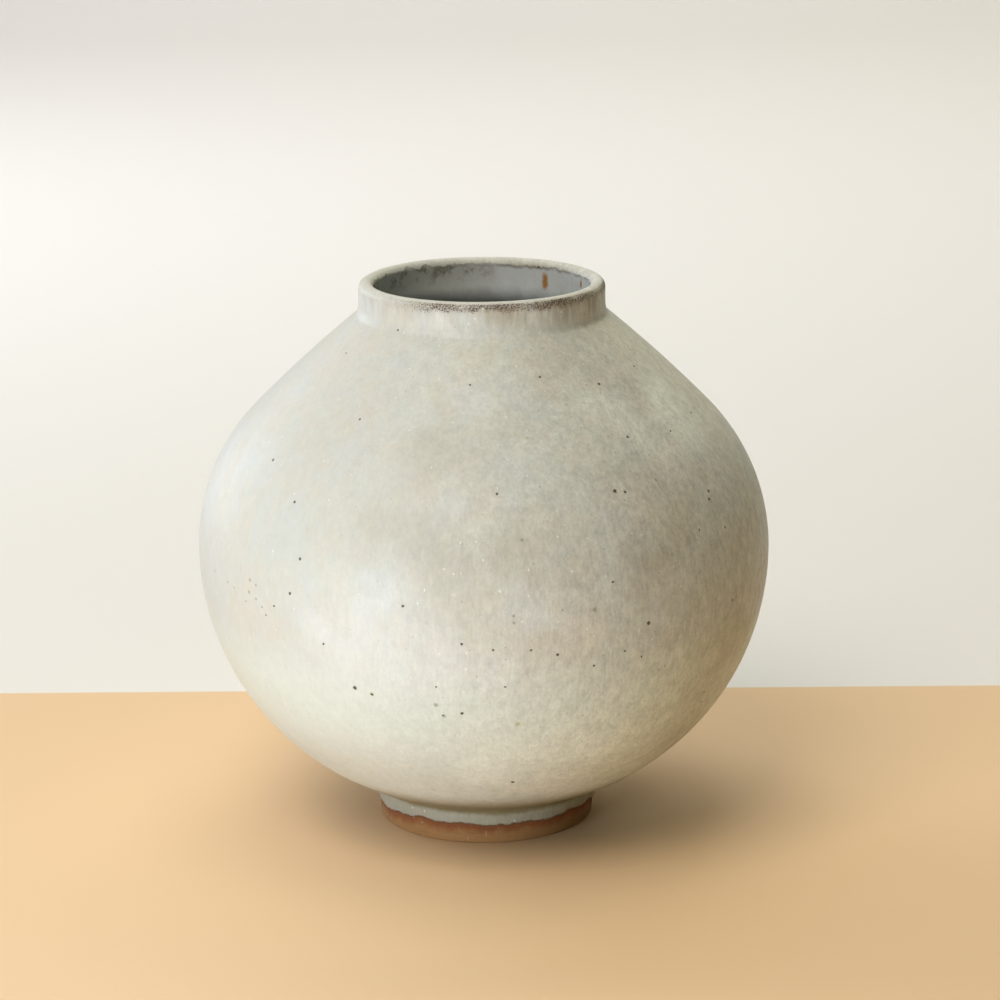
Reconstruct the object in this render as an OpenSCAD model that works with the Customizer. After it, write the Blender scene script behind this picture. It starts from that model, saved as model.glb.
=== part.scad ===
// Moon jar: a small stoneware jar, thrown as two bowls that are luted together at the belly,
// with a thrown collar on the shoulder and a ring foot under the base, then glazed in and out.
// Millimetres, +Z up. The origin is the centre of the foot, on the surface the jar stands on.
// Every piece is a section, drawn as [radius, height], and turned about the jar's axis.

/* [Body] */
// Height from the ground to the top of the lip
height = 193; // [178:1:215]
// Widest diameter, over the glaze
belly_d = 200; // [184:1:225]
// Height of the widest ring above the ground
belly_z = 99; // [87:1:106]
// Slope of the shoulder where the belly curve ends, as the angle of its normal
shoulder_angle = 44; // [41:1:50]
// Radius of the long, nearly straight curve of the shoulder
shoulder_r = 450; // [300:10:900]
// Clay wall of both bowls
body_wall = 5; // [4:0.5:8]
// Clay floor of the lower bowl
floor_t = 7; // [5:0.5:12]

/* [Neck] */
// Outer diameter of the collar, over the glaze
neck_d = 85.4; // [76:0.2:96]
// Height of the lip above the place where the shoulder meets the collar
neck_h = 11; // [9:0.5:16]
// Clay wall of the collar
neck_wall = 4.1; // [3:0.1:6]
// Radius of the soft hollow between shoulder and collar
neck_hollow_r = 4; // [2:0.5:6]
// Length of shoulder that the collar covers, below the hollow
collar_skirt = 1.5; // [0.5:0.1:3]

/* [Foot] */
// Outer diameter of the bare clay foot, where it meets the ground
foot_d = 75.6; // [66:0.2:88]
// How far the outside of the foot leans out on its way up to the bowl
foot_flare = 0.5; // [0:0.1:1.5]
// Thickness of the foot ring where it meets the ground
foot_wall = 6; // [5:0.5:10]
// How far the inside of the foot leans in on its way up to the bowl
foot_draft = 0.8; // [0:0.1:1.5]
// Bevel on both edges of the foot
foot_bevel = 0.9; // [0.3:0.1:1.5]
// Height of the bowl's underside above the ground, at the middle of the foot well
underside_z = 7.5; // [6:0.5:12]
// Height of the bare band, up to where the outer glaze stops
glaze_line_z = 6.4; // [3:0.1:9]
// Height of the bare band inside the foot, up to where the glaze of the well stops
well_line_z = 2.6; // [1.6:0.1:5]

/* [Glaze and slip] */
// Thickness of the outer glaze, and of the glaze in the foot well
glaze_t = 0.6; // [0.4:0.1:1.2]
// Thickness of the glaze that lines the inside
liner_t = 0.5; // [0.4:0.1:1.2]
// Thickness of the slip in each luted joint
slip_t = 0.5; // [0.3:0.1:1]
// Width of the ridge on a joint's lower rim, at its base
ridge_w = 2.4; // [1.6:0.1:3]
// Height of that ridge
ridge_h = 1.6; // [0.8:0.1:2.4]

/* [Hidden] */

// Facets of a full turn, and steps along the curves of a section
turn_fn = 180;
well_steps = 9;
ring_steps = 2;
flank_steps = 26;
belly_steps = 14;
shoulder_steps = 6;
hollow_steps = 5;
lip_steps = 12;

// The wall has four surfaces, counted inwards
GLAZE = 0;
CLAY = 1;
INNER_CLAY = 2;
LINER = 3;
// Depth of each surface under the outside of the bowls, and under the outside of the collar
body_depth = [0, glaze_t, glaze_t + body_wall, glaze_t + body_wall + liner_t];
neck_depth = [0, glaze_t, glaze_t + neck_wall, glaze_t + neck_wall + liner_t];
// Height of each surface above the ground at the middle of the floor
floor_z = [underside_z, underside_z + glaze_t, underside_z + glaze_t + floor_t,
           underside_z + glaze_t + floor_t + liner_t];

function polar(angle) = [cos(angle), sin(angle)];
function arc(centre, r, from, to, steps) =
    [for (i = [0:steps]) centre + r * polar(from + (to - from) * i / steps)];
function rest(points) = [for (i = [1:1:len(points) - 1]) points[i]];
function back(points) = [for (i = [len(points) - 1:-1:0]) points[i]];
function last(points) = points[len(points) - 1];

// The stretch of a rising outline between two heights, with an end put in at each
function at_height(p, q, z) = p + (q - p) * (z - p.y) / (q.y - p.y);
function between(points, low, high) = [for (i = [0:len(points) - 1])
    let (p = points[i], q = points[min(i + 1, len(points) - 1)])
    each concat(p.y > low && p.y < high ? [p] : [],
                p.y <= low && q.y > low ? [at_height(p, q, low)] : [],
                p.y < high && q.y >= high ? [at_height(p, q, high)] : [])];

// The lower curve of a surface is level at the middle of the floor and upright at the belly
function lower_r(level) = belly_z - floor_z[level];
function lower_centre(level) = [belly_d / 2 - body_depth[level] - lower_r(level), belly_z];
function lower_start(level) = asin(max(0, -lower_centre(level).x) / lower_r(level)) - 90;
function lower_angle(level, r) = -acos(max(0, r - lower_centre(level).x) / lower_r(level));
function lower_arc(level, from, to, steps) =
    arc(lower_centre(level), lower_r(level), from, to, steps);

// The belly curve goes over to the shoulder curve where its normal has the shoulder's angle.
// Its radius is the one at which the shoulder curve, tangent to it there, meets the collar
// at shoulder_z: the root of a quadratic, from the distance of that corner to both centres.
shoulder_z = height - neck_h;
to_corner = [neck_d / 2 - belly_d / 2, shoulder_z - belly_z] + shoulder_r * polar(shoulder_angle);
centre_shift = polar(shoulder_angle) - [1, 0];
quad_a = centre_shift * centre_shift;
quad_b = to_corner * centre_shift;
quad_c = to_corner * to_corner - shoulder_r * shoulder_r;
upper_r = (quad_b - sqrt(quad_b * quad_b - quad_a * quad_c)) / quad_a;
upper_centre = [belly_d / 2 - upper_r, belly_z];
shoulder_centre = upper_centre - (shoulder_r - upper_r) * polar(shoulder_angle);

// The hollow between shoulder and collar touches both. In the clay wall's inner surfaces
// the same curve rounds off the corner, so the wall keeps its thickness round the bend.
function neck_r(level) = neck_d / 2 - neck_depth[level];
function hollow_r(level) = neck_hollow_r + body_depth[level];
function hollow_centre(level) =
    let (x = neck_r(level) + hollow_r(level),
         reach = shoulder_r - body_depth[level] + hollow_r(level))
    [x, shoulder_centre.y + sqrt(reach * reach - pow(x - shoulder_centre.x, 2))];
function hollow_angle(level) =
    let (away = hollow_centre(level) - shoulder_centre) atan2(away.y, away.x);

// The lip is a full round on top of the collar's wall
lip_z = height - (neck_r(GLAZE) - neck_r(LINER)) / 2;
function lip_arc(outside, inside) =
    arc([(outside + inside) / 2, lip_z], (outside - inside) / 2, 0, 180, lip_steps);

// Belly, shoulder, hollow and collar of one surface, from the widest ring up to the lip
function upper_outline(level) = concat(
    arc(upper_centre, upper_r - body_depth[level], 0, shoulder_angle, belly_steps),
    rest(arc(shoulder_centre, shoulder_r - body_depth[level],
             shoulder_angle, hollow_angle(level), shoulder_steps)),
    rest(arc(hollow_centre(level), hollow_r(level),
             180 + hollow_angle(level), 180, hollow_steps)),
    [[neck_r(level), lip_z]]);

// The foot's sides run up to these two directions, seen from the centre of the lower curve
foot_r = foot_d / 2;
foot_inner_r = foot_r - foot_wall;
ring_angle = lower_angle(CLAY, foot_r + foot_flare);
well_angle = lower_angle(CLAY, foot_inner_r - foot_draft);
// The ring's top is curved like the bowl it carries, with the slip between them
ring_top = arc(lower_centre(CLAY), lower_r(CLAY) + slip_t, well_angle, ring_angle, ring_steps);
outer_side = [[foot_r, 2 * foot_bevel], last(ring_top)];
inner_side = [[foot_inner_r, 2 * foot_bevel], ring_top[0]];

// The clay's outer surface in stretches: over the well, over the ring, and the open flank
well_roof = concat([[0, floor_z[CLAY]]],
                   lower_arc(CLAY, lower_start(CLAY), well_angle, well_steps));
ring_seat = lower_arc(CLAY, well_angle, ring_angle, ring_steps);
flank = lower_arc(CLAY, ring_angle, 0, flank_steps);
outer_clay = concat(well_roof, rest(ring_seat), rest(flank), rest(upper_outline(CLAY)));

// The two inner surfaces, from the middle of the floor up to the lip
function inside_outline(level) = concat([[0, floor_z[level]]],
    lower_arc(level, lower_start(level), 0, flank_steps), rest(upper_outline(level)));
inner_clay = inside_outline(INNER_CLAY);

// Each upper joint is a level rim with a ridge on it: half a slip above the joint's height
// is the upper piece's rim, and half a slip below it the lower piece's
function radius_at(points, z) = between(points, z, z + 1)[0].x;
function wall_middle(z) = (radius_at(outer_clay, z) + radius_at(inner_clay, z)) / 2;
function rim(z, lift) = let (middle = wall_middle(z), top = z + lift)
    [[middle + ridge_w / 2, top], [middle + ridge_w / 4, top + ridge_h],
     [middle - ridge_w / 4, top + ridge_h], [middle - ridge_w / 2, top]];
neck_joint_z = last(arc(shoulder_centre, shoulder_r - body_depth[CLAY],
                        shoulder_angle, hollow_angle(CLAY), 1)).y - collar_skirt;
half_slip = slip_t / 2;
base = -1;

// A closed section of the clay wall between two heights, with the rims that end it
function wall_section(low, high, top_rim, bottom_rim) = concat(
    between(outer_clay, low, high), top_rim,
    back(between(inner_clay, low, high)), back(bottom_rim));

module turned(colour, section) {
    color(colour) rotate_extrude($fn = turn_fn) polygon(section);
}

module foot_ring() {
    turned("#8f6239", concat(
        [[foot_inner_r + foot_bevel, 0], [foot_r - foot_bevel, 0]],
        outer_side, back(ring_top), [inner_side[0]]));
}

module foot_slip() {
    turned("#b99a72", concat(ring_top, back(ring_seat)));
}

module lower_bowl() {
    turned("#c2a47c", concat(
        well_roof, rest(ring_seat), between(rest(flank), base, belly_z - half_slip),
        rim(belly_z, -half_slip),
        back(between(inner_clay, floor_z[INNER_CLAY], belly_z - half_slip)),
        [[0, floor_z[INNER_CLAY]]]));
}

module waist_slip() {
    turned("#b99a72", wall_section(belly_z - half_slip, belly_z + half_slip,
                                   rim(belly_z, half_slip), rim(belly_z, -half_slip)));
}

module upper_bowl() {
    turned("#c9ac84", wall_section(belly_z + half_slip, neck_joint_z - half_slip,
                                   rim(neck_joint_z, -half_slip), rim(belly_z, half_slip)));
}

module neck_slip() {
    turned("#b99a72", wall_section(neck_joint_z - half_slip, neck_joint_z + half_slip,
                                   rim(neck_joint_z, half_slip), rim(neck_joint_z, -half_slip)));
}

module neck_collar() {
    turned("#c2a47c", wall_section(neck_joint_z + half_slip, height,
                                   lip_arc(neck_r(CLAY), neck_r(INNER_CLAY)),
                                   rim(neck_joint_z, half_slip)));
}

// The outer coat runs from the bare band on the foot, up over the body and round the lip
module outer_glaze() {
    bare_edge = at_height(outer_side[0], outer_side[1], glaze_line_z);
    turned("#d8d5c6", concat(
        [bare_edge, outer_side[1]], flank, rest(upper_outline(CLAY)),
        rest(lip_arc(neck_r(CLAY), neck_r(INNER_CLAY))),
        back(lip_arc(neck_r(GLAZE), neck_r(LINER))), rest(back(upper_outline(GLAZE))),
        rest(lower_arc(GLAZE, 0, lower_angle(GLAZE, foot_r + foot_flare + glaze_t), flank_steps)),
        [bare_edge + [glaze_t, 0]]));
}

module liner_glaze() {
    turned("#a9b0ad", concat(inner_clay, back(inside_outline(LINER))));
}

module foot_well_glaze() {
    bare_edge = at_height(inner_side[0], inner_side[1], well_line_z);
    skin_angle = lower_angle(GLAZE, foot_inner_r - foot_draft - glaze_t);
    turned("#cfd0c6", concat(
        well_roof, [inner_side[1], bare_edge, bare_edge - [glaze_t, 0]],
        back(lower_arc(GLAZE, lower_start(GLAZE), skin_angle, well_steps)),
        [[0, floor_z[GLAZE]]]));
}

foot_ring();
foot_slip();
lower_bowl();
waist_slip();
upper_bowl();
neck_slip();
neck_collar();
outer_glaze();
liner_glaze();
foot_well_glaze();
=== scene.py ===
# %% [markdown]
# # A moon jar, from its foot to its lip
# This lesson dresses a stoneware jar in its real surfaces: a satin off-white glaze, a glossy
# blue-grey lining and a ring of bare clay at the foot. The clay pieces under the glaze come
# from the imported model. They already have their real size and place, so every new piece is
# made around them, in metres, and nothing has to be fitted afterwards.

# %% Load the jar
import math

import bpy
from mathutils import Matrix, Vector


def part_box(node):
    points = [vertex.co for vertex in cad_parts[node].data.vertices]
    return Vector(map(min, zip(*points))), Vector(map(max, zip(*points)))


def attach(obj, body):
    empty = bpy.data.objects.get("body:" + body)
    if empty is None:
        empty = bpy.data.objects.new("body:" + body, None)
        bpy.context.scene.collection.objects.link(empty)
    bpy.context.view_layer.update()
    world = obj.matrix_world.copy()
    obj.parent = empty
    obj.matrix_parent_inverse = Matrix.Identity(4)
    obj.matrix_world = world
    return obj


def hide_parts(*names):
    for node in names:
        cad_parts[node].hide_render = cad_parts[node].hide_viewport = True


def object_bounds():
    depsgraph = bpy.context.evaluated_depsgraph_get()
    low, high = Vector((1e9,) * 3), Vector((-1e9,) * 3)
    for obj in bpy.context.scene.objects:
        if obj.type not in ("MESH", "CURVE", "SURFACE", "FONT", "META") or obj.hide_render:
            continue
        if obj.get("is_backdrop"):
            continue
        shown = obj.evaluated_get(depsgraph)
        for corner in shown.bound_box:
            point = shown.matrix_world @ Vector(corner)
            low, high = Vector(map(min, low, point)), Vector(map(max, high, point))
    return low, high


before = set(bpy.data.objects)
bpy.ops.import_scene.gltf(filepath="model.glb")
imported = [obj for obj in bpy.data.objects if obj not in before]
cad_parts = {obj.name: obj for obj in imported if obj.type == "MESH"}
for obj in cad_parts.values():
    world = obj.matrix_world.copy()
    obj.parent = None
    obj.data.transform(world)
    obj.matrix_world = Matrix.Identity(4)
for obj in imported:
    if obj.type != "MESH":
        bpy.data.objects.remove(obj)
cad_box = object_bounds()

mm = 0.001
slip_t = 0.5 * mm
coat_low, coat_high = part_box("outer_glaze")
height = coat_high.z
belly_r = coat_high.x
belly_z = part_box("upper_bowl")[0].z - slip_t / 2
glaze_line_z = coat_low.z
print(f"The jar is {height / mm:.1f} mm high and {2 * belly_r / mm:.1f} mm wide,")
print(f"widest at {belly_z / mm:.1f} mm, and its glaze starts at {glaze_line_z / mm:.1f} mm")

# %% [markdown]
# ## The camera
# The photograph is taken from a little above, with a long lens. The far rim of the mouth and
# the front of the foot, which are both circles of known size, tell how far above and how far
# away the camera stood. The camera comes first because some marks on the jar are later put
# where a sight line through a point of the photograph meets the glaze.

# %% Set up the camera
photo_size = 1000
focal_pixels = 3351
sensor = 36.0
pitch = math.radians(14.97)
roll = math.radians(-0.45)
camera_place = Vector((5.7, -1136.2, 417.7)) * mm
bpy.ops.object.camera_add(location=camera_place, rotation=(math.radians(90) - pitch, 0, 0))
camera = bpy.context.object
camera.name = "camera"
camera.rotation_euler.rotate_axis("Z", roll)
camera.data.sensor_width = sensor
camera.data.lens = focal_pixels * sensor / photo_size
bpy.context.scene.camera = camera
bpy.context.view_layer.update()
camera_turn = camera.matrix_world.to_3x3()
print(f"The lens is {camera.data.lens:.1f} mm, {camera_place.length:.2f} m from the foot")

# %% [markdown]
# ## The section
# A thrown jar is the same all round, so its whole shape is one line: the section of its wall.
# A potter's ribs leave true arcs, so the line is put together from arcs: a long one under the
# belly, a tighter one over it, a nearly straight shoulder, a small hollow, the upright collar
# and the round lip. Every surface of the wall is the same line at another depth.

# %% Arcs
def arc(centre, radius, start, end, steps):
    """The points of an arc in a section, from one direction in degrees to another."""
    turns = [math.radians(start + (end - start) * i / steps) for i in range(steps + 1)]
    return [(centre[0] + radius * math.cos(t), centre[1] + radius * math.sin(t)) for t in turns]


def straight(start, end, steps):
    """Even points on a line, its first point left out."""
    shares = [i / steps for i in range(1, steps + 1)]
    return [(start[0] + (end[0] - start[0]) * s, start[1] + (end[1] - start[1]) * s)
            for s in shares]


# %% The wall's four surfaces
glaze_t = 0.6 * mm
liner_t = 0.5 * mm
body_wall = 5.0 * mm
neck_wall = 4.1 * mm
floor_t = 7.0 * mm
underside_z = 7.5 * mm
neck_r = 42.7 * mm
belly_curve_r = 69.107 * mm
shoulder_r = 450 * mm
shoulder_angle = 44
hollow_r = 4 * mm
OUTSIDE, CLAY, INNER_CLAY, LINING = range(4)
body_depth = [0, glaze_t, glaze_t + body_wall, glaze_t + body_wall + liner_t]
neck_depth = [0, glaze_t, glaze_t + neck_wall, glaze_t + neck_wall + liner_t]
floor_z = [underside_z, underside_z + glaze_t, underside_z + glaze_t + floor_t,
           underside_z + glaze_t + floor_t + liner_t]
belly_centre = (belly_r - belly_curve_r, belly_z)
centre_shift = shoulder_r - belly_curve_r
shoulder_centre = (belly_centre[0] - centre_shift * math.cos(math.radians(shoulder_angle)),
                   belly_centre[1] - centre_shift * math.sin(math.radians(shoulder_angle)))
lip_tube_r = (neck_depth[LINING] - neck_depth[OUTSIDE]) / 2
lip_z = height - lip_tube_r


def lower_centre(level):
    """Centre of the curve that a surface follows under the belly."""
    return (belly_r - body_depth[level] - (belly_z - floor_z[level]), belly_z)


def lower_angle(level, radius):
    """The direction in which that curve passes a radius."""
    reach = belly_z - floor_z[level]
    return -math.degrees(math.acos((radius - lower_centre(level)[0]) / reach))


def hollow(level):
    """Centre, radius and first direction of the small hollow under the collar."""
    radius = hollow_r + body_depth[level]
    x = neck_r - neck_depth[level] + radius
    reach = shoulder_r - body_depth[level] + radius
    z = shoulder_centre[1] + math.sqrt(reach ** 2 - (x - shoulder_centre[0]) ** 2)
    return (x, z), radius, math.degrees(math.atan2(z - shoulder_centre[1],
                                                   x - shoulder_centre[0]))


def upper_line(level, fine):
    """Belly, shoulder, hollow and collar of one surface. A higher fine gives more points."""
    centre, radius, first = hollow(level)
    line = arc(belly_centre, belly_curve_r - body_depth[level], 0, shoulder_angle, 8 * fine)
    line += arc(shoulder_centre, shoulder_r - body_depth[level],
                shoulder_angle, first, 6 * fine)[1:]
    line += arc(centre, radius, 180 + first, 180, 3 * fine)[1:]
    return line + straight(line[-1], (neck_r - neck_depth[level], lip_z), 2 * fine)


def lip_line(outer, inner, steps):
    """The full round of the lip, from the outside over the top to the inside."""
    return arc(((outer + inner) / 2, lip_z), (outer - inner) / 2, 0, 180, steps)


clay_neck_r = neck_r - neck_depth[CLAY]
inner_neck_r = neck_r - neck_depth[INNER_CLAY]
mouth_r = neck_r - neck_depth[LINING]
lip_middle_r = mouth_r + lip_tube_r
print(f"The mouth is {2 * mouth_r / mm:.1f} mm wide,",
      f"and the lip is {2 * lip_tube_r / mm:.1f} mm thick")

# %% [markdown]
# ## Turning a section on the wheel
# Blender's Spin operator does a wheel's work. A circle primitive is a closed loop of wire with
# as many corners as the section has points. Each corner is bent to its place in the section,
# and the loop is spun a full turn about the jar's axis. An edge of the loop that lies on the
# axis itself is deleted first, because it would spin into nothing. The spin ends where it
# starts, so the doubled points are merged, and only then are the faces turned outwards.

# %% Spin a section
full_turn_steps = 288
on_axis = 1e-9
weld_distance = 0.002 * mm
smooth_under = math.radians(50)


def pick(piece):
    """Selects one piece and nothing else."""
    bpy.ops.object.select_all(action="DESELECT")
    piece.select_set(True)
    bpy.context.view_layer.objects.active = piece


def edit_all(piece):
    """Starts edit mode on one piece with all of it selected."""
    bpy.ops.object.mode_set(mode="OBJECT")
    pick(piece)
    bpy.ops.object.mode_set(mode="EDIT")
    bpy.ops.mesh.select_all(action="SELECT")


def edit_edges(piece, chosen):
    """Starts edit mode with the edges selected whose two ends are chosen. Says if any are."""
    bpy.ops.object.mode_set(mode="EDIT")
    bpy.ops.mesh.select_mode(type="EDGE")
    bpy.ops.mesh.select_all(action="DESELECT")
    bpy.ops.object.mode_set(mode="OBJECT")
    picked = [all(chosen(piece.data.vertices[v].co) for v in edge.vertices)
              for edge in piece.data.edges]
    piece.data.edges.foreach_set("select", picked)
    bpy.ops.object.mode_set(mode="EDIT")
    return any(picked)


def turned(name, section):
    """A closed section, as (radius, height) points, spun about the jar's axis."""
    bpy.ops.object.select_all(action="DESELECT")
    bpy.ops.mesh.primitive_circle_add(vertices=len(section), radius=belly_r)
    piece = bpy.context.object
    piece.name = piece.data.name = name
    for corner, (radius, z) in zip(piece.data.vertices, section):
        corner.co = (radius, 0, z)
    if edit_edges(piece, lambda place: place.x < on_axis):
        bpy.ops.mesh.delete(type="EDGE")
    bpy.ops.mesh.select_mode(type="VERT")
    edit_all(piece)
    bpy.ops.mesh.spin(steps=full_turn_steps, angle=2 * math.pi, center=(0, 0, 0), axis=(0, 0, 1))
    bpy.ops.mesh.select_all(action="SELECT")
    bpy.ops.mesh.remove_doubles(threshold=weld_distance)
    bpy.ops.mesh.normals_make_consistent(inside=False)
    bpy.ops.object.mode_set(mode="OBJECT")
    bpy.ops.object.shade_smooth_by_angle(angle=smooth_under)
    print(f"{name}: {len(piece.data.vertices)} points, {len(piece.data.polygons)} faces")
    return piece


# %% [markdown]
# ## The outer coat of glaze
# The coat is a skin 0.6 mm thick. It ends in a rounded bead on the foot, where the potter wiped
# the clay clean before the firing. In the corner between foot and bowl the melted glaze pooled
# and filled the corner with a small round. The inner side of the skin lies on the clay. The
# outer side has many more points, because it carries the shape that shows.

# %% Section of the coat
ring_marks = [(183.0 * mm, 0.16 * mm), (179.2 * mm, 0.12 * mm)]
ring_width = 0.9 * mm


def throwing_rings(z):
    """The two faint ridges that a rib left at the root of the collar."""
    return sum(rise * math.exp(-((z - mark) / ring_width) ** 2) for mark, rise in ring_marks)


foot_r = 37.8 * mm
foot_flare = 0.5 * mm
foot_wall = 6.0 * mm
foot_draft = 0.8 * mm
foot_bevel = 0.9 * mm
seat_angle = lower_angle(CLAY, foot_r + foot_flare)
seat_reach = belly_z - floor_z[CLAY] + slip_t
clay_foot_top = arc(lower_centre(CLAY), seat_reach, seat_angle, seat_angle, 1)[0]
line_share = (glaze_line_z - 2 * foot_bevel) / (clay_foot_top[1] - 2 * foot_bevel)
clay_at_line = (foot_r + (clay_foot_top[0] - foot_r) * line_share, glaze_line_z)

bead_r = 0.36 * mm
bead_out = 0.28 * mm
foot_swell = 0.12 * mm
bead_centre = (clay_at_line[0] + bead_out, glaze_line_z + bead_r)
coat_side_r = clay_at_line[0] + glaze_t + foot_swell
pool_r = 3.0 * mm
pool_x = coat_side_r + pool_r
lower_reach = belly_z - floor_z[OUTSIDE]
pool_rise = math.sqrt((lower_reach + pool_r) ** 2 - (pool_x - lower_centre(OUTSIDE)[0]) ** 2)
pool_centre = (pool_x, belly_z - pool_rise)
pool_end = math.degrees(math.atan2(pool_rise, lower_centre(OUTSIDE)[0] - pool_x))

coat_section = arc(bead_centre, bead_r, -120, -10, 5)
coat_section += straight(coat_section[-1], (coat_side_r, pool_centre[1]), 4)
coat_section += arc(pool_centre, pool_r, 180, pool_end, 8)[1:]
coat_section += arc(lower_centre(OUTSIDE), lower_reach, pool_end - 180, 0, 44)[1:]
coat_section += upper_line(OUTSIDE, 4)[1:]
coat_section = [(r + throwing_rings(z), z) for r, z in coat_section]
coat_section += lip_line(neck_r, mouth_r, 20)[1:]
coat_section += lip_line(clay_neck_r, inner_neck_r, 8)[::-1]
coat_section += upper_line(CLAY, 1)[::-1][1:]
coat_section += arc(lower_centre(CLAY), belly_z - floor_z[CLAY], 0, seat_angle, 26)[1:]
coat_section += [clay_foot_top, clay_at_line]
coat = turned("outer_glaze_coat", coat_section)

# %% [markdown]
# ## Marking the side that shows
# The next steps make the outer side a little uneven, as a hand leaves it, while the inner side
# has to stay on the clay. A vertex group keeps the two apart: a point is on the outer side if
# its normal points away from the middle of the jar. A second mark, an attribute that the
# material reads later, is each point's height over the glaze line before the line is made wavy.

# %% Vertex group and attribute
def store(piece, name, values):
    """Gives every point of a piece a number that a material can read."""
    attribute = piece.data.attributes.new(name, "FLOAT", "POINT")
    attribute.data.foreach_set("value", values)


jar_middle = Vector((0, 0, belly_z))
shown = [v.index for v in coat.data.vertices if v.normal.dot(v.co - jar_middle) > 0]
coat.vertex_groups.new(name="shown_side").add(shown, 1.0, "REPLACE")
store(coat, "over_line", [v.co.z - glaze_line_z for v in coat.data.vertices])
print(len(shown), "points of the coat are on the side that shows")

# %% [markdown]
# ## The wavy glaze line
# Wiped by hand, the edge of the glaze rises and falls by a millimetre or two round the foot.
# Each swell is a pull on the edge with proportional editing, which takes the points around
# along with it and fades out with distance. The places are angles round the jar, and the front
# of the jar is at 270 degrees.

# %% Pull the glaze line up and down
line_pulls = [(207, -0.8), (220, 0.3), (235, 1.3), (249, 0.7), (259, 1.1), (272, 0.4),
              (283, 0.4), (293, 0.7), (304, 0.3), (315, 0.7), (323, 1.0), (338, 0.9),
              (352, -0.4), (8, 0.8), (25, 1.4), (41, -0.2), (60, 0.9), (78, 1.6), (95, 0.2),
              (113, 1.0), (131, -0.5), (148, 0.6), (166, 1.3), (184, 0.3)]
pull_reach = 6.5 * mm
edge_reach = 1.4 * mm
edge_r = clay_at_line[0] + glaze_t / 2


def pull_edge(piece, angle, lift):
    """Moves a short stretch of the glaze's edge up or down, and less of what lies around it."""
    place = Vector((edge_r * math.cos(angle), edge_r * math.sin(angle), glaze_line_z))
    bpy.ops.object.mode_set(mode="EDIT")
    bpy.ops.mesh.select_all(action="DESELECT")
    bpy.ops.object.mode_set(mode="OBJECT")
    near = [(v.co - place).length < edge_reach for v in piece.data.vertices]
    piece.data.vertices.foreach_set("select", near)
    bpy.ops.object.mode_set(mode="EDIT")
    bpy.ops.transform.translate(value=(0, 0, lift), use_proportional_edit=True,
                                proportional_edit_falloff="SMOOTH", proportional_size=pull_reach)
    bpy.ops.object.mode_set(mode="OBJECT")


pick(coat)
for degrees, lift in line_pulls:
    pull_edge(coat, math.radians(degrees), lift * mm)
edge_heights = [v.co.z for v in coat.data.vertices if v.co.z < glaze_line_z + 3 * mm]
print(f"The glaze line now starts at {min(edge_heights) / mm:.1f} mm")

# %% [markdown]
# ## Off the wheel, not quite round
# A jar is joined from two bowls and moves a little as it dries. This one leans by a few tenths
# of a millimetre: its shoulder to one side and its lower flank to the other. Each level of a
# lattice round it is slid sideways. Then two Displace modifiers with cloud textures leave the
# slow dents of the hands and the finer ones of the rib, and a third one frays the glaze line.

# %% Lean and dents
lean = [0, 0.30, 0.42, 0.20, 0.05, 0.0, -0.35, -0.42, -0.10, 0]
hand_dent = 0.30 * mm
hand_size = 42 * mm
rib_dent = 0.07 * mm
rib_size = 11 * mm
fray = 1.1 * mm
fray_size = 2.4 * mm
frayed_height = 4.5 * mm


def reshape(piece, kind, group, **settings):
    """Moves the points of a group with a modifier, and applies it."""
    bpy.context.view_layer.objects.active = piece
    bpy.ops.object.modifier_add(type=kind)
    modifier = piece.modifiers[-1]
    modifier.vertex_group = group
    for key, value in settings.items():
        setattr(modifier, key, value)
    bpy.ops.object.modifier_apply(modifier=modifier.name)


def bend_sideways(piece, levels):
    """Slides the level slices of a piece along X, by a lattice round it, in millimetres."""
    bpy.ops.object.select_all(action="DESELECT")
    bpy.ops.object.add(type="LATTICE", location=(0, 0, height / 2))
    cage = bpy.context.object
    cage.scale = (2 * belly_r, 2 * belly_r, height)
    cage.data.points_u, cage.data.points_v, cage.data.points_w = 2, 2, len(levels)
    for number, point in enumerate(cage.data.points):
        point.co_deform.x += levels[number // 4] * mm / cage.scale.x
    bpy.context.view_layer.update()
    reshape(piece, "LATTICE", "shown_side", object=cage)
    bpy.data.objects.remove(cage)


def dent(piece, name, size, depth, group="shown_side", direction="NORMAL"):
    """Moves a surface in and out by a cloud texture."""
    clouds = bpy.data.textures.new(name, "CLOUDS")
    clouds.noise_scale = size
    clouds.noise_depth = 1
    reshape(piece, "DISPLACE", group, texture=clouds, texture_coords="LOCAL",
            strength=depth, mid_level=0.5, direction=direction)


edge_group = coat.vertex_groups.new(name="glaze_edge")
for vertex in coat.data.vertices:
    closeness = 1 - (vertex.co.z - glaze_line_z) / frayed_height
    if closeness > 0:
        edge_group.add([vertex.index], min(1.0, closeness), "REPLACE")
bend_sideways(coat, lean)
dent(coat, "hand_clouds", hand_size, hand_dent)
dent(coat, "rib_clouds", rib_size, rib_dent)
dent(coat, "edge_clouds", fray_size, fray, "glaze_edge", "Z")
widest = max(math.hypot(v.co.x, v.co.y) for v in coat.data.vertices)
print(f"The coat's widest point is {widest / mm:.2f} mm from the axis")
highest = max(v.co.z for v in coat.data.vertices)
edit_all(coat)
fit = min(1.0, belly_r / widest)
bpy.ops.transform.resize(value=(fit, fit, min(1.0, height / highest)), center_override=(0, 0, 0))
bpy.ops.object.mode_set(mode="OBJECT")
print(f"Its sides are drawn in by {(1 - fit) * belly_r / mm:.2f} mm to their real size")

# %% [markdown]
# ## The lining, the foot ring and the well
# The other three pieces that show are turned in the same way. The lining starts inside the lip
# and runs down over the inner wall to the floor. The foot ring is the only bare clay, with its
# edges softened by a sponge. Under the jar, inside the ring, a coat of glaze covers the well.

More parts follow.
